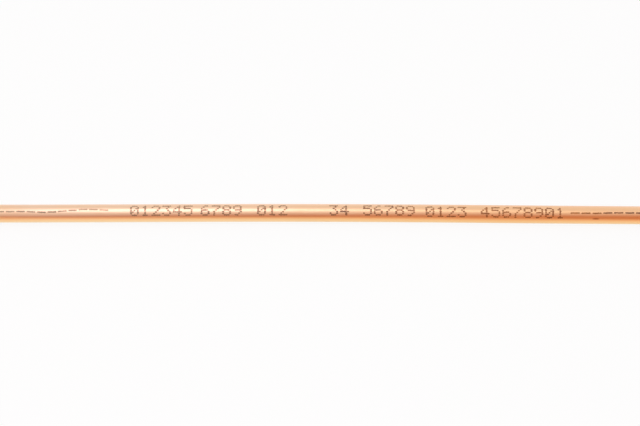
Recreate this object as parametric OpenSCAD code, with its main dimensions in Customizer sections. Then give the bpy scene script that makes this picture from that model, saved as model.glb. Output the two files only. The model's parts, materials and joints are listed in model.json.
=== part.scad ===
// A straight length of small soft copper tube, cut square at both ends.
// It lies on the floor along X, with the origin on the floor below its middle.

/* [Tube] */
// Outside diameter, 3/16 inch
outside_diameter = 4.76; // [4:0.01:12.7]
// Thickness of the drawn wall
wall_thickness = 1; // [0.5:0.01:1.5]
// Length from one cut face to the other
cut_length = 300; // [50:1:1000]

/* [Cut ends] */
// Radius that the cutting wheel rolls onto the outer edge
rolled_edge_radius = 0.25; // [0.05:0.01:0.25]
// Width of the bevel that the reamer leaves inside the mouth
reamed_bevel = 0.15; // [0.05:0.01:0.2]

/* [Hidden] */
$fn = 96;
outside_radius = outside_diameter / 2;
bore_radius = outside_radius - wall_thickness;
copper_colour = [0.87, 0.55, 0.35];

// What the cutting wheel rolls away from the outer corner of the wall,
// with the corner itself at the origin
module rolled_corner() {
    translate([-rolled_edge_radius, -rolled_edge_radius])
        difference() {
            square(2 * rolled_edge_radius);
            circle(rolled_edge_radius);
        }
}

// What the reamer takes from the inner corner of the wall,
// with the corner itself at the origin
module reamed_corner() {
    rotate(45) square(sqrt(2) * reamed_bevel, center = true);
}

// One side of the tube, cut along its axis: radius along X, length along Y
module wall_section() {
    difference() {
        translate([bore_radius, -cut_length / 2]) square([wall_thickness, cut_length]);
        for (far_end = [0, 1])
            mirror([0, far_end]) {
                translate([outside_radius, cut_length / 2]) rolled_corner();
                translate([bore_radius, cut_length / 2]) reamed_corner();
            }
    }
}

// The wall turned round the tube's axis and laid down along X
module copper_tube() {
    color(copper_colour)
        translate([0, 0, outside_radius])
            rotate([0, 90, 0])
                rotate_extrude() wall_section();
}

copper_tube();
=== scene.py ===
import json
import math
import random

import bpy
from mathutils import Matrix, Vector


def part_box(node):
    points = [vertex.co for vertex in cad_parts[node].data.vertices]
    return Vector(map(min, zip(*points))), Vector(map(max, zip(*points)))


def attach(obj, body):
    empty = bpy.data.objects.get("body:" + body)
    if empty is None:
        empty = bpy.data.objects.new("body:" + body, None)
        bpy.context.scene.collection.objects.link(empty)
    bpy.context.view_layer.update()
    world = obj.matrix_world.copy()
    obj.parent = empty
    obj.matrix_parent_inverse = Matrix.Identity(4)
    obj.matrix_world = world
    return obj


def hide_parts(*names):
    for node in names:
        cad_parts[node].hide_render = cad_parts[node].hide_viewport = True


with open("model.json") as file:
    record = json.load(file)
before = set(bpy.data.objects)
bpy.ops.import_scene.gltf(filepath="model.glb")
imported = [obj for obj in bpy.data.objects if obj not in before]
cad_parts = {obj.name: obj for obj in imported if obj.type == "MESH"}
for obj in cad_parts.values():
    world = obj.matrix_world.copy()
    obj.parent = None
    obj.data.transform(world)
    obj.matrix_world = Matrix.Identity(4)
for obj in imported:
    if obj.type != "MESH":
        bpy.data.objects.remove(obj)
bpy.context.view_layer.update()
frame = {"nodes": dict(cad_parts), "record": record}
print("frame loaded:", sorted(frame["nodes"]))

# what the frame says about the tube, in metres
tubeNode = "copper_tube"
millimetre = 0.001
lowCorner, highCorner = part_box(tubeNode)
mountSizes = {mount["name"]: mount["dims"] for mount in frame["record"]["mounts"]}
tubeLength = highCorner.x - lowCorner.x
outerRadius = mountSizes["outside_wall"]["r_mm"] * millimetre
boreRadius = mountSizes["through_bore"]["r_mm"] * millimetre
axisHeight = lowCorner.z + outerRadius
rolledEdge = (tubeLength - mountSizes["outside_wall"]["length_mm"] * millimetre) / 2
reamedBevel = (tubeLength - mountSizes["through_bore"]["length_mm"] * millimetre) / 2


def onWall(along, elevation, height=0.0):
    # a point on the near wall: place along the tube, angle above level, height off the wall
    reach = outerRadius + height
    return along, -reach * math.cos(elevation), axisHeight + reach * math.sin(elevation)


def editMode():
    bpy.ops.object.mode_set(mode="EDIT")


def objectMode():
    bpy.ops.object.mode_set(mode="OBJECT")


def makeActive(piece):
    bpy.ops.object.select_all(action="DESELECT")
    piece.select_set(True)
    bpy.context.view_layer.objects.active = piece


def pickOnly(piece, kind, test):
    # selects the vertices, edges or faces that pass the test, and nothing else
    editMode()
    bpy.ops.mesh.select_mode(type=kind)
    bpy.ops.mesh.select_all(action="DESELECT")
    objectMode()
    mesh = piece.data
    parts = {"VERT": mesh.vertices, "EDGE": mesh.edges, "FACE": mesh.polygons}[kind]
    for part in parts:
        part.select = test(part)
    editMode()


# small helpers for building node trees
def addNode(tree, kind, **settings):
    node = tree.nodes.new(kind)
    for name, value in settings.items():
        setattr(node, name, value)
    return node


def feed(tree, socket, value):
    # a number, a colour or another node's output
    if isinstance(value, (int, float)):
        socket.default_value = value
    elif isinstance(value, tuple):
        socket.default_value = (*value, 1) if socket.type == "RGBA" else value
    else:
        tree.links.new(value, socket)


def mathNode(tree, operation, *values, clamp=False):
    node = addNode(tree, "ShaderNodeMath", operation=operation, use_clamp=clamp)
    for socket, value in zip(node.inputs, values):
        feed(tree, socket, value)
    return node.outputs[0]


def weightedSum(tree, *pairs):
    # shares of several masks added up, never above one
    total = 0.0
    for value, share in pairs:
        total = mathNode(tree, "ADD", mathNode(tree, "MULTIPLY", value, share), total, clamp=True)
    return total


wholeRange = (0.0, 1.0)


def mapRange(tree, value, oldRange=wholeRange, newRange=wholeRange, smooth=False):
    node = addNode(tree, "ShaderNodeMapRange", interpolation_type="SMOOTHSTEP" if smooth else "LINEAR")
    feed(tree, node.inputs["Value"], value)
    names = ("From Min", "From Max", "To Min", "To Max")
    for name, end in zip(names, (*oldRange, *newRange)):
        feed(tree, node.inputs[name], end)
    return node.outputs["Result"]


def mixColour(tree, factor, first, second):
    node = addNode(tree, "ShaderNodeMix", data_type="RGBA")
    feed(tree, node.inputs["Factor"], factor)
    colours = [socket for socket in node.inputs if socket.type == "RGBA"]
    feed(tree, colours[0], first)
    feed(tree, colours[1], second)
    return next(socket for socket in node.outputs if socket.type == "RGBA")


def colourSteps(tree, value, steps):
    # colours at places, blended between them
    start, end = steps[0][0], steps[-1][0]
    ramp = addNode(tree, "ShaderNodeValToRGB")
    elements = ramp.color_ramp.elements  # a new ramp has its two ends
    elements[0].color = (*steps[0][1], 1)
    elements[1].color = (*steps[-1][1], 1)
    for place, colour in steps[1:-1]:
        element = elements.new((place - start) / (end - start))
        element.color = (*colour, 1)
    tree.links.new(mapRange(tree, value, (start, end)), ramp.inputs["Fac"])
    return ramp.outputs["Color"]


def objectPlace(tree, stretch=(1, 1, 1), centre=(0, 0, 0)):
    # object coordinates about a centre, squeezed or stretched along each axis
    place = addNode(tree, "ShaderNodeTexCoord")
    mapping = addNode(tree, "ShaderNodeMapping")
    mapping.inputs["Scale"].default_value = stretch
    mapping.inputs["Location"].default_value = [-part * scale for part, scale in zip(centre, stretch)]
    tree.links.new(place.outputs["Object"], mapping.inputs["Vector"])
    return mapping.outputs["Vector"]


def splitAxes(tree, vector):
    axes = addNode(tree, "ShaderNodeSeparateXYZ")
    tree.links.new(vector, axes.inputs[0])
    return axes.outputs


def vectorLength(tree, vector):
    node = addNode(tree, "ShaderNodeVectorMath", operation="LENGTH")
    tree.links.new(vector, node.inputs[0])
    return node.outputs["Value"]


def noiseValue(tree, vector, scale, detail=2.0, roughness=0.5):
    noise = addNode(tree, "ShaderNodeTexNoise")
    tree.links.new(vector, noise.inputs["Vector"])
    feed(tree, noise.inputs["Scale"], scale)
    feed(tree, noise.inputs["Detail"], detail)
    feed(tree, noise.inputs["Roughness"], roughness)
    return noise.outputs["Fac"]


def startGroup(name, inputs, output):
    group = bpy.data.node_groups.new(name, "ShaderNodeTree")
    for socketName, value in inputs.items():
        socket = group.interface.new_socket(socketName, in_out="INPUT", socket_type="NodeSocketFloat")
        socket.default_value = value
    group.interface.new_socket(output, in_out="OUTPUT", socket_type="NodeSocketFloat")
    entry = addNode(group, "NodeGroupInput")
    leave = addNode(group, "NodeGroupOutput")
    return group, entry.outputs, leave.inputs[output]


def placeGroup(tree, group, values):
    node = addNode(tree, "ShaderNodeGroup", node_tree=group)
    for name, value in values.items():
        node.inputs[name].default_value = value
    return node.outputs[0]


def startMaterial(name):
    material = bpy.data.materials.new(name)
    material.use_nodes = True
    tree = material.node_tree
    return material, tree, tree.nodes["Principled BSDF"]


def followMask(tree, mask, ends, socket):
    # a shader's value goes from one end to the other as the mask goes from nought to one
    tree.links.new(mapRange(tree, mask, newRange=ends), socket)


reliefDepth = 0.1 * millimetre  # of fine relief at full strength


def bumpOn(tree, shader, height, strength):
    bump = addNode(tree, "ShaderNodeBump")
    bump.inputs["Strength"].default_value = strength
    bump.inputs["Distance"].default_value = reliefDepth
    tree.links.new(height, bump.inputs["Height"])
    tree.links.new(bump.outputs["Normal"], shader.inputs["Normal"])


# fine lines along the tube, left by the drawing die
dieLines = {
    "inputs": {"Lines per metre": 9000.0, "Softness": 0.25},
    "stretch": (0.006, 1, 1),  # the lines run on along X
    "detail": 3.0,
    "broadScale": 0.22,  # broader lines between the fine ones
    "fineShare": 0.6,
    "broadShare": 0.4,
    "middle": 0.5,
}


def drawnLinesGroup():
    group, entry, leave = startGroup("drawnLines", dieLines["inputs"], "Lines")
    along = objectPlace(group, dieLines["stretch"])
    fine = noiseValue(group, along, entry["Lines per metre"], dieLines["detail"])
    broadScale = mathNode(group, "MULTIPLY", entry["Lines per metre"], dieLines["broadScale"])
    broad = noiseValue(group, along, broadScale)
    both = weightedSum(group, (fine, dieLines["fineShare"]), (broad, dieLines["broadShare"]))
    low = mathNode(group, "SUBTRACT", dieLines["middle"], entry["Softness"])
    high = mathNode(group, "ADD", dieLines["middle"], entry["Softness"])
    group.links.new(mapRange(group, both, (low, high)), leave)
    return group


# uneven bright and dull patches from air and handling
toneClouds = {
    "inputs": {"Patches per metre": 60.0, "Cover": 0.5},
    "stretch": (0.35, 1, 1),
    "detail": 4.0,
    "roughness": 0.6,
    "clearLevel": 0.85,  # cloud level that shows as a patch when the cover is nought
    "edge": 0.35,
}


def tarnishGroup():
    group, entry, leave = startGroup("tarnish", toneClouds["inputs"], "Patches")
    around = objectPlace(group, toneClouds["stretch"])
    size = entry["Patches per metre"]
    cloud = noiseValue(group, around, size, toneClouds["detail"], toneClouds["roughness"])
    low = mathNode(group, "SUBTRACT", toneClouds["clearLevel"], entry["Cover"])
    high = mathNode(group, "ADD", low, toneClouds["edge"])
    group.links.new(mapRange(group, cloud, (low, high), smooth=True), leave)
    return group


# short stray scratches from handling, drawn where a long smooth noise crosses its middle
handling = {
    "inputs": {"Scratches per metre": 800.0, "Width": 0.01},
    "stretch": (0.05, 1, 1),
    "middle": 0.5,
    "breakStretch": (0.4, 1, 1),
    "breaksPerMetre": 350.0,
    "keptRange": (0.50, 0.60),  # a scratch shows only where the breaking noise is above this
}


def scratchGroup():
    group, entry, leave = startGroup("strayScratches", handling["inputs"], "Scratches")
    long = noiseValue(group, objectPlace(group, handling["stretch"]), entry["Scratches per metre"])
    offMiddle = mathNode(group, "ABSOLUTE", mathNode(group, "SUBTRACT", long, handling["middle"]))
    line = mapRange(group, offMiddle, (0.0, entry["Width"]), (1.0, 0.0))
    broken = noiseValue(group, objectPlace(group, handling["breakStretch"]), handling["breaksPerMetre"])
    kept = mapRange(group, broken, handling["keptRange"])
    group.links.new(mathNode(group, "MULTIPLY", line, kept), leave)
    return group


drawnLines = drawnLinesGroup()
tarnish = tarnishGroup()
strayScratches = scratchGroup()
print("shared surface effects ready")

# the drawn outer wall: soft orange copper under a thin clear film
wallLook = {
    # painted light: the first colour is copper painted paler as if lit, on the left end; the second is
    # deeper, in tarnish patches and towards the right
    "paintedLitCopper": (1.0, 0.665, 0.44),
    "tarnishedAndUnlit": (0.97, 0.545, 0.255),
    "paintedLightFrom": -0.08,  # painted light: paler on the left as if lit there, deeper towards the right, between these places
    "paintedLightTo": 0.052,
    "paintedLightFade": 0.8,
    "patchShare": 0.35,  # how far patches and lines deepen it too
    "lineShare": 0.3,
    "dullPatches": 0.7,  # how far patches and scratches dull the gloss
    "dullScratches": 0.6,
    "roughness": (0.38, 0.48),
    "filmWeight": (1.0, 0.85),  # where clean, where dull
    "filmIndex": 2.15,
    "filmRoughness": 0.35,
    "lines": {"Lines per metre": 9000.0, "Softness": 0.25},
    "patches": {"Patches per metre": 90.0, "Cover": 0.42},
    "scratches": {"Scratches per metre": 800.0, "Width": 0.012},
    "relief": 0.12,
}

# one dull rub mark low on the near side
rubMark = {
    "place": 72.5,  # millimetres along the tube
    "elevation": 19.0,  # degrees above level
    "halfLength": 1.1,
    "halfWidth": 0.24,
    "edge": (0.5, 1.15),  # fades between these shares of its size
    "colour": (0.48, 0.12, 0.02),
    "strength": 0.95,
}


def rubMarkMask(tree):
    centre = onWall(rubMark["place"] * millimetre, math.radians(rubMark["elevation"]))
    along = 1 / (rubMark["halfLength"] * millimetre)
    across = 1 / (rubMark["halfWidth"] * millimetre)
    offCentre = vectorLength(tree, objectPlace(tree, (along, across, across), centre))
    return mapRange(tree, offCentre, rubMark["edge"], (rubMark["strength"], 0.0), smooth=True)


def paintedLightFadeAlong(tree):
    # how far the painted light on the left end has faded at each place along the tube
    place = splitAxes(tree, objectPlace(tree))
    return mapRange(tree, place["X"], (wallLook["paintedLightFrom"], wallLook["paintedLightTo"]))


def drawnCopper():
    material, tree, shader = startMaterial("drawnCopper")
    shader.inputs["Metallic"].default_value = 1.0
    shader.inputs["Coat IOR"].default_value = wallLook["filmIndex"]
    shader.inputs["Coat Roughness"].default_value = wallLook["filmRoughness"]
    lines = placeGroup(tree, drawnLines, wallLook["lines"])
    patches = placeGroup(tree, tarnish, wallLook["patches"])
    scratches = placeGroup(tree, strayScratches, wallLook["scratches"])
    rubbed = rubMarkMask(tree)

    # painted light fading along the tube, added to the real deepening from tarnish patches and die
    # lines
    tarnishedAndUnlit = weightedSum(
        tree,
        (paintedLightFadeAlong(tree), wallLook["paintedLightFade"]),
        (patches, wallLook["patchShare"]),
        (lines, wallLook["lineShare"]),
    )
    colour = mixColour(tree, tarnishedAndUnlit, wallLook["paintedLitCopper"], wallLook["tarnishedAndUnlit"])
    colour = mixColour(tree, rubbed, colour, rubMark["colour"])
    tree.links.new(colour, shader.inputs["Base Color"])

    dull = weightedSum(
        tree,
        (patches, wallLook["dullPatches"]),
        (scratches, wallLook["dullScratches"]),
        (rubbed, 1.0),
    )
    followMask(tree, dull, wallLook["roughness"], shader.inputs["Roughness"])
    followMask(tree, dull, wallLook["filmWeight"], shader.inputs["Coat Weight"])
    bumpOn(tree, shader, mathNode(tree, "SUBTRACT", lines, scratches), wallLook["relief"])
    return material


# fresh metal on the cut ends, with the rings that the reamer turns into it
cutLook = {
    "fresh": (0.97, 0.60, 0.38),
    "dulled": (0.92, 0.50, 0.24),
    "roughness": (0.20, 0.36),
    "ringsPerMetre": 14000.0,
    "ringRange": (0.35, 0.65),
    "patches": {"Patches per metre": 900.0, "Cover": 0.45},
    "dullPatches": 0.6,
    "dullRings": 0.3,
    "ringDepth": (0.3, 1.0),  # where clean, where dulled
    "relief": 0.12,
}


def turnedRings(tree):
    # noise that changes only with the distance from the middle of the bowed tube's ends
    endSideways = bow["sideways"][0] * millimetre
    offAxis = vectorLength(tree, objectPlace(tree, (0, 1, 1), (0, endSideways, axisHeight)))
    spread = addNode(tree, "ShaderNodeCombineXYZ")
    tree.links.new(offAxis, spread.inputs["X"])
    rings = noiseValue(tree, spread.outputs[0], cutLook["ringsPerMetre"])
    return mapRange(tree, rings, cutLook["ringRange"])


def cutCopper():
    material, tree, shader = startMaterial("cutCopper")
    shader.inputs["Metallic"].default_value = 1.0
    rings = turnedRings(tree)
    patches = placeGroup(tree, tarnish, cutLook["patches"])
    dulled = weightedSum(tree, (patches, cutLook["dullPatches"]), (rings, cutLook["dullRings"]))
    colour = mixColour(tree, dulled, cutLook["fresh"], cutLook["dulled"])
    tree.links.new(colour, shader.inputs["Base Color"])
    ringDepth = mapRange(tree, patches, newRange=cutLook["ringDepth"])
    uneven = mathNode(tree, "MULTIPLY", rings, ringDepth)
    followMask(tree, uneven, cutLook["roughness"], shader.inputs["Roughness"])
    bumpOn(tree, shader, uneven, cutLook["relief"])
    return material


# the duller wall of the bore
boreLook = {
    "drawn": (0.85, 0.42, 0.19),
    "dull": (0.60, 0.25, 0.10),
    "roughness": (0.38, 0.55),
    "lines": {"Lines per metre": 6000.0, "Softness": 0.3},
    "patches": {"Patches per metre": 120.0, "Cover": 0.6},
    "relief": 0.1,
}


def boreCopper():
    material, tree, shader = startMaterial("boreCopper")
    shader.inputs["Metallic"].default_value = 1.0
    lines = placeGroup(tree, drawnLines, boreLook["lines"])
    patches = placeGroup(tree, tarnish, boreLook["patches"])
    colour = mixColour(tree, patches, boreLook["drawn"], boreLook["dull"])
    tree.links.new(colour, shader.inputs["Base Color"])
    followMask(tree, patches, boreLook["roughness"], shader.inputs["Roughness"])
    bumpOn(tree, shader, lines, boreLook["relief"])
    return material


# the tube itself: its wall section is drawn once and spun round the axis
tubeShape = {
    "sides": 96,
    "rings": 100,  # cuts along the length
    "edgeSegments": 5,  # round of the rolled outer edge
    "mergeWithin": 0.0075,  # millimetres
    "sharpAngle": math.radians(32),
}


def makeTube():
    bpy.ops.object.select_all(action="DESELECT")
    wall = outerRadius - boreRadius
    sectionHeight = axisHeight + boreRadius + wall / 2
    upright = (math.pi / 2, 0, 0)
    bpy.ops.mesh.primitive_plane_add(size=1, location=(0, 0, sectionHeight), rotation=upright)
    tube = bpy.context.object
    tube.name = "copperTube"
    tube.scale = (tubeLength, wall, 1)
    bpy.ops.object.transform_apply(location=True, rotation=True, scale=True)
    # roll the outer corners over, ream the inner ones
    pickOnly(tube, "VERT", lambda vertex: vertex.co.z > sectionHeight)
    bpy.ops.mesh.bevel(offset=rolledEdge, segments=tubeShape["edgeSegments"], affect="VERTICES")
    pickOnly(tube, "VERT", lambda vertex: vertex.co.z < axisHeight + boreRadius + reamedBevel / 2)
    bpy.ops.mesh.bevel(offset=reamedBevel, segments=1, affect="VERTICES")
    # keep the outline only, divide its two long edges and turn it round the axis
    bpy.ops.mesh.select_all(action="SELECT")
    bpy.ops.mesh.delete(type="ONLY_FACE")
    objectMode()
    points = tube.data.vertices

    def isLong(edge):
        first, last = (points[number].co.x for number in edge.vertices)
        return abs(first - last) > tubeLength / 2

    pickOnly(tube, "EDGE", isLong)
    bpy.ops.mesh.subdivide(number_cuts=tubeShape["rings"])
    bpy.ops.mesh.select_all(action="SELECT")
    axis = {"center": (0, 0, axisHeight), "axis": (1, 0, 0)}
    bpy.ops.mesh.spin(steps=tubeShape["sides"], angle=2 * math.pi, **axis)
    bpy.ops.mesh.select_all(action="SELECT")
    bpy.ops.mesh.remove_doubles(threshold=tubeShape["mergeWithin"] * millimetre)
    bpy.ops.mesh.normals_make_consistent(inside=False)
    objectMode()
    return tube


def finishTube(tube):
    # the finish of the drawn wall first, then that of the cut ends and of the bore
    for material in (drawnCopper(), cutCopper(), boreCopper()):
        tube.data.materials.append(material)
    cutSlot, boreSlot = 1, 2
    # faces are told apart by their middles
    boreLimit = boreRadius + reamedBevel / 4  # short of the middles of the bevel's faces
    endStart = tubeLength / 2 - rolledEdge / 2  # half way along the rolled edge
    for face in tube.data.polygons:
        offAxis = math.hypot(face.center.y, face.center.z - axisHeight)
        if offAxis < boreLimit:
            face.material_index = boreSlot
        elif abs(face.center.x) > endStart:
            face.material_index = cutSlot
    makeActive(tube)
    bpy.ops.object.shade_smooth_by_angle(angle=tubeShape["sharpAngle"])


# the slight bow that hand straightening leaves: sideways millimetres at places along the tube
bow = {
    "places": (-150, -75, 0, 75, 150),
    "sideways": (-0.5, 0.0, 0.5, 0.0, -0.5),
    "resolution": 48,
}


def makeBowPath():
    curve = bpy.data.curves.new("bowPath", "CURVE")
    curve.dimensions = "3D"
    curve.twist_mode = "Z_UP"
    curve.resolution_u = bow["resolution"]
    spline = curve.splines.new("BEZIER")
    spline.bezier_points.add(len(bow["places"]) - 1)
    start = bow["places"][0]
    for point, place, sideways in zip(spline.bezier_points, bow["places"], bow["sideways"]):
        point.co = ((place - start) * millimetre, sideways * millimetre, 0)
        point.handle_left_type = "AUTO"
        point.handle_right_type = "AUTO"
    path = bpy.data.objects.new("bowPath", curve)
    path.location = (-tubeLength / 2, 0, axisHeight)
    bpy.context.collection.objects.link(path)
    bpy.context.view_layer.update()
    return path


def followBow(piece, path):
    makeActive(piece)
    bend = piece.modifiers.new("bow", "CURVE")
    bend.object = path
    bend.deform_axis = "POS_X"
    bpy.ops.object.modifier_apply(modifier=bend.name)


# dots sprayed on by the marking jet, in millimetres:
# a dashed line, with plain running digits in the middle
marking = {
    "dashRuns": ((-148.1, -55.0, 2.73), (65.8, 148.2, 2.87)),  # start, end, pitch
    # start and count of digits
    "digitGroups": ((-50.0, 6), (-31.4, 4), (-16.6, 3), (2.4, 2), (11.3, 5), (27.7, 4), (42.2, 8)),
    "digitPitch": 2.82,
    "columnShare": 0.163,  # share of the pitch from one column of dots to the next
    "rowPitch": 0.44,
    "dotHalfLength": 0.29,  # drawn out along the moving tube
    "dotHalfWidth": 0.215,
    "dotSides": 12,
    "dotSpread": (0.88, 1.1),
    "lift": 0.010,  # crown of a dried dot above the metal
    "rim": 0.004,  # its edge above the metal
    "sink": 0.02,  # its underside below the metal
    "jitter": 0.025,  # how far a dot strays
    "letterDensity": (0.85, 1.0),
    "dotDensity": (0.55, 1.0),
    "crownDensity": 0.85,  # ink dries thinner in the middle of a dot
    # where the middle row runs, in degrees above level, at places along the tube
    "driftPlaces": (-150, -78, -73, -70, -68, -65, -62, -59, -56, -50, 0, 20, 30, 50, 62, 72, 77, 150),
    "driftAngles": (60, 58, 53, 55, 59, 65, 71, 70, 65, 63, 65, 66, 59, 58, 56, 55, 59, 60),
    # how much ink was left on, at places along the tube
    "inkPlaces": (-76, -72, -67, -60, -56, -50, -13, 3, 10, 30, 45, 55, 62, 67, 72, 78),
    "inkShares": (
        0.75, 0.9, 0.6, 0.45, 0.3, 0.9, 0.8, 1.15,
        0.95, 0.85, 0.7, 0.75, 1.05, 0.6, 0.75, 1.35,
    ),
    "densityLayer": "inkDensity",
    "chanceSeed": 476,
}
dotRows = {
    "0": ".###. #...# #..## #.#.# ##..# #...# .###.",
    "1": "..#.. .##.. ..#.. ..#.. ..#.. ..#.. .###.",
    "2": ".###. #...# ....# ...#. ..#.. .#... #####",
    "3": "##### ...#. ..#.. ...#. ....# #...# .###.",
    "4": "...#. ..##. .#.#. #..#. ##### ...#. ...#.",
    "5": "##### #.... ####. ....# ....# #...# .###.",
    "6": "..##. .#... #.... ####. #...# #...# .###.",
    "7": "##### ....# ...#. ..#.. .#... .#... .#...",
    "8": ".###. #...# #...# .###. #...# #...# .###.",
    "9": ".###. #...# #...# .#### ....# ...#. .##..",
    "-": "..... ..... ..... ##### ..... ..... .....",
}
middleRow = 3


def valueAlong(place, places, values):
    # goes from value to value in smooth steps between the places
    for number in range(len(places) - 1):
        if places[number] <= place <= places[number + 1]:
            share = (place - places[number]) / (places[number + 1] - places[number])
            share = share * share * (3 - 2 * share)
            return values[number] + share * (values[number + 1] - values[number])
    return values[0] if place < places[0] else values[-1]


def markedCharacters():
    # each character with the place of its left edge and its pitch
    for start, end, pitch in marking["dashRuns"]:
        for number in range(int((end - start) / pitch)):
            yield "-", start + number * pitch, pitch
    digit = 0
    pitch = marking["digitPitch"]
    for start, count in marking["digitGroups"]:
        for number in range(count):
            yield str(digit % 10), start + number * pitch, pitch
            digit += 1


def addDot(points, faces, place, rise, middle, size):
    # one low closed lens of ink on the wall, place and rise in millimetres
    sides = marking["dotSides"]
    wallRadius = outerRadius / millimetre
    crown = len(points)
    root = crown + 1
    rim = root + 1

    def addPoint(along, upward, height):
        points.append(onWall(along * millimetre, middle + upward / wallRadius, height * millimetre))

    addPoint(place, rise, marking["lift"])
    addPoint(place, rise, -marking["sink"])
    for number in range(sides):
        turn = 2 * math.pi * number / sides
        along = place + size * marking["dotHalfLength"] * math.cos(turn)
        upward = rise + size * marking["dotHalfWidth"] * math.sin(turn)
        addPoint(along, upward, marking["rim"])
    for number in range(sides):
        here = rim + number
        after = rim + (number + 1) % sides
        faces.append((crown, here, after))
        faces.append((root, after, here))


def inkDots():
    # each dot's place, rise from the middle row, angle of that row, size and density of ink
    chance = random.Random(marking["chanceSeed"])
    for character, start, pitch in markedCharacters():
        inkShare = valueAlong(start + pitch / 2, marking["inkPlaces"], marking["inkShares"])
        letterDensity = inkShare * chance.uniform(*marking["letterDensity"])
        for row, line in enumerate(dotRows[character].split()):
            for column, mark in enumerate(line):
                if mark == ".":
                    continue
                size = chance.uniform(*marking["dotSpread"])
                place = start + marking["dotHalfLength"] + column * marking["columnShare"] * pitch
                middle = math.radians(valueAlong(place, marking["driftPlaces"], marking["driftAngles"]))
                rise = (middleRow - row) * marking["rowPitch"]
                place += chance.gauss(0, marking["jitter"])
                rise += chance.gauss(0, marking["jitter"])
                dotDensity = letterDensity * chance.uniform(*marking["dotDensity"])
                yield place, rise, middle, size, dotDensity


def makeMarking():
    points, faces, density = [], [], []
    for place, rise, middle, size, dotDensity in inkDots():
        addDot(points, faces, place, rise, middle, size)
        density.append(dotDensity * marking["crownDensity"])
        density.extend([dotDensity] * (len(points) - len(density)))
    mesh = bpy.data.meshes.new("inkMarking")
    mesh.from_pydata(points, [], faces)
    layer = mesh.attributes.new(marking["densityLayer"], "FLOAT", "POINT")
    layer.data.foreach_set("value", density)
    piece = bpy.data.objects.new("inkMarking", mesh)
    bpy.context.collection.objects.link(piece)
    makeActive(piece)
    editMode()
    bpy.ops.mesh.select_all(action="SELECT")
    bpy.ops.mesh.normals_make_consistent(inside=False)
    objectMode()
    bpy.ops.object.shade_smooth_by_angle(angle=tubeShape["sharpAngle"])
    return piece


# thin brown ink that the copper shows through
inkLook = {
    "ink": ((0.18, 0.11, 0.07), (0.17, 0.045, 0.008)),  # painted highlight: greyer on the copper painted lit on the left, browner on the deeper right
    "stained": ((0.62, 0.42, 0.27), (0.57, 0.22, 0.07)),  # the same where a dot is thin, also painted paler on the left
    "metallic": (0.0, 0.8),
    "roughness": (0.30, 0.44),
    "gloss": 0.7,
    "rubbedShare": 0.25,
    "scratchedShare": 0.5,
    "patches": {"Patches per metre": 1500.0, "Cover": 0.4},
    "scratches": {"Scratches per metre": 1500.0, "Width": 0.02},
}


def dottedInk():
    material, tree, shader = startMaterial("dottedInk")
    shader.inputs["Specular IOR Level"].default_value = inkLook["gloss"]
    density = addNode(tree, "ShaderNodeAttribute", attribute_name=marking["densityLayer"])
    patches = placeGroup(tree, tarnish, inkLook["patches"])
    scratches = placeGroup(tree, strayScratches, inkLook["scratches"])
    thin = mathNode(tree, "SUBTRACT", 1.0, density.outputs["Fac"])
    gone = weightedSum(
        tree,
        (thin, 1.0),
        (patches, inkLook["rubbedShare"]),
        (scratches, inkLook["scratchedShare"]),
    )
    # painted highlight: the ink is painted greyer where the copper is painted lit
    unlitShare = paintedLightFadeAlong(tree)
    ink = mixColour(tree, unlitShare, *inkLook["ink"])
    stained = mixColour(tree, unlitShare, *inkLook["stained"])
    colour = mixColour(tree, gone, ink, stained)
    tree.links.new(colour, shader.inputs["Base Color"])
    followMask(tree, gone, inkLook["metallic"], shader.inputs["Metallic"])
    followMask(tree, gone, inkLook["roughness"], shader.inputs["Roughness"])
    return material


path = makeBowPath()
tube = makeTube()
finishTube(tube)
followBow(tube, path)
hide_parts(tubeNode)
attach(tube, "root")
print("tube:", len(tube.data.polygons), "faces")

ink = makeMarking()
followBow(ink, path)
ink.data.materials.append(dottedInk())
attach(ink, "root")
print("marking:", len(ink.data.polygons), "faces")
bpy.data.objects.remove(path)

# camera at the photograph's angle
viewer = {
    "elevation": math.radians(45),
    "lens": 70.0,
    "sensor": 36.0,
    "seenLength": 0.1693,  # tube length across the picture
    "belowCentre": 0.00033,  # how far the tube sits below the picture's middle
    "roll": math.radians(0.15),
    "nearest": 0.01,
}


def makeCamera():
    cameraData = bpy.data.cameras.new("viewer")
    cameraData.lens = viewer["lens"]
    cameraData.sensor_width = viewer["sensor"]
    cameraData.clip_start = viewer["nearest"]
    camera = bpy.data.objects.new("viewer", cameraData)
    bpy.context.collection.objects.link(camera)
    away = viewer["seenLength"] * viewer["lens"] / viewer["sensor"]
    tilt = Matrix.Rotation(math.pi / 2 - viewer["elevation"], 3, "X")
    turn = tilt @ Matrix.Rotation(viewer["roll"], 3, "Z")
    back = turn @ Vector((0, 0, 1))
    up = turn @ Vector((0, 1, 0))
    camera.location = Vector((0, 0, axisHeight)) + back * away + up * viewer["belowCentre"]
    camera.rotation_euler = turn.to_euler()
    bpy.context.scene.camera = camera


# a soft box above on the left
softBox = {
    "place": (-0.082, -0.053, 0.30),
    "size": (0.115, 0.195),
    "power": 0.15,
    "colour": (0.93, 0.85, 1.0),
}
# a narrow strip above on the right
sideStrip = {
    "place": (0.055, -0.048, 0.30),
    "size": (0.14, 0.04),
    "power": 0.032,
    "colour": (1.0, 0.97, 0.75),
}


def makeLamp(name, look):
    lampData = bpy.data.lights.new(name, "AREA")
    lampData.shape = "RECTANGLE"
    lampData.size, lampData.size_y = look["size"]
    lampData.energy = look["power"]
    lampData.color = look["colour"]
    lamp = bpy.data.objects.new(name, lampData)
    lamp.location = look["place"]
    bpy.context.collection.objects.link(lamp)


plainWhite = (1.0, 1.0, 1.0)

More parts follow.
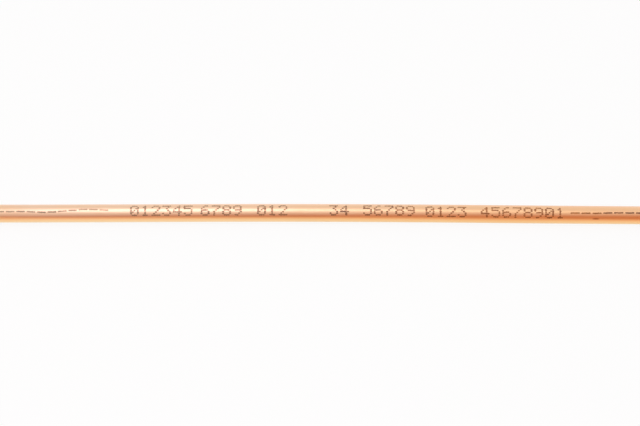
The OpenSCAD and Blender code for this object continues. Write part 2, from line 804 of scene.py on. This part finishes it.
# a pale room that is dim and warm behind the camera
paleRoom = {
    "high": (0.80, 0.80, 0.80),
    "back": (0.97, 0.97, 0.97),
    "frontLeft": (0.40, 0.155, 0.18),
    "frontRight": (0.615, 0.195, 0.04),
    "frontTurn": (-0.29, 0.18),  # the front goes from one to the other between these, sideways
    "frontTop": (0.26, 0.73),  # it ends upwards between these
    "frontSlant": 1.0,  # and reaches higher on the right
    "frontSide": (-0.43, -0.03),  # it ends towards the back between these
}


def makeRoom():
    world = bpy.data.worlds.new("paleRoom")
    world.use_nodes = True
    bpy.context.scene.world = world
    tree = world.node_tree
    outwards = addNode(tree, "ShaderNodeTexCoord")
    axes = splitAxes(tree, outwards.outputs["Generated"])
    rightwards = mapRange(tree, axes["X"], paleRoom["frontTurn"], smooth=True)
    front = mixColour(tree, rightwards, paleRoom["frontLeft"], paleRoom["frontRight"])
    backwards = mapRange(tree, axes["Y"], paleRoom["frontSide"], smooth=True)
    walls = mixColour(tree, backwards, front, paleRoom["back"])
    slant = mathNode(tree, "MULTIPLY", axes["X"], paleRoom["frontSlant"])
    height = mathNode(tree, "SUBTRACT", axes["Z"], slant)
    upwards = mapRange(tree, height, paleRoom["frontTop"], smooth=True)
    room = mixColour(tree, upwards, walls, paleRoom["high"])
    rays = addNode(tree, "ShaderNodeLightPath")
    shown = mixColour(tree, rays.outputs["Is Camera Ray"], room, plainWhite)
    tree.links.new(shown, tree.nodes["Background"].inputs["Color"])


# a white floor that keeps the tube's shadow; in the metal it shows a painted reflection, warm in front
# of the tube
paleFloor = {
    "size": 6.0,
    "colour": (0.92, 0.92, 0.92),
    "roughness": 0.9,
    "white": 0.90,  # share of plain white seen by the camera, the rest keeps the shadow
    # painted reflection: what the metal mirrors instead of white, a warm bounce near the tube and a
    # darker front, at places from front to back
    "mirrored": (
        (-0.030, (0.565, 0.28, 0.15)),
        (-0.011, (1.0, 0.57, 0.31)),
        (-0.003, (1.0, 1.0, 0.77)),
        (0.008, plainWhite),
    ),
}


def makeFloor():
    bpy.ops.object.select_all(action="DESELECT")
    bpy.ops.mesh.primitive_plane_add(size=paleFloor["size"], location=(0, 0, lowCorner.z))
    floor = bpy.context.object
    floor.name = "paleFloor"
    material, tree, shader = startMaterial("paleFloor")
    shader.inputs["Base Color"].default_value = (*paleFloor["colour"], 1)
    shader.inputs["Roughness"].default_value = paleFloor["roughness"]
    rays = addNode(tree, "ShaderNodeLightPath")
    place = splitAxes(tree, objectPlace(tree))
    mirrored = colourSteps(tree, place["Y"], paleFloor["mirrored"])
    white = addNode(tree, "ShaderNodeEmission")
    shown = mixColour(tree, rays.outputs["Is Glossy Ray"], plainWhite, mirrored)
    tree.links.new(shown, white.inputs["Color"])
    seen = mathNode(tree, "MULTIPLY", rays.outputs["Is Camera Ray"], paleFloor["white"])
    bent = mathNode(tree, "MAXIMUM", rays.outputs["Is Glossy Ray"], rays.outputs["Is Transmission Ray"])
    blend = addNode(tree, "ShaderNodeMixShader")
    tree.links.new(mathNode(tree, "MAXIMUM", seen, bent), blend.inputs[0])
    tree.links.new(shader.outputs[0], blend.inputs[1])
    tree.links.new(white.outputs[0], blend.inputs[2])
    tree.links.new(blend.outputs[0], tree.nodes["Material Output"].inputs["Surface"])
    floor.data.materials.append(material)


makeCamera()
makeLamp("softBox", softBox)
makeLamp("sideStrip", sideStrip)
makeRoom()
makeFloor()
bpy.context.scene.view_settings.view_transform = "Standard"
print("camera, light and floor ready")
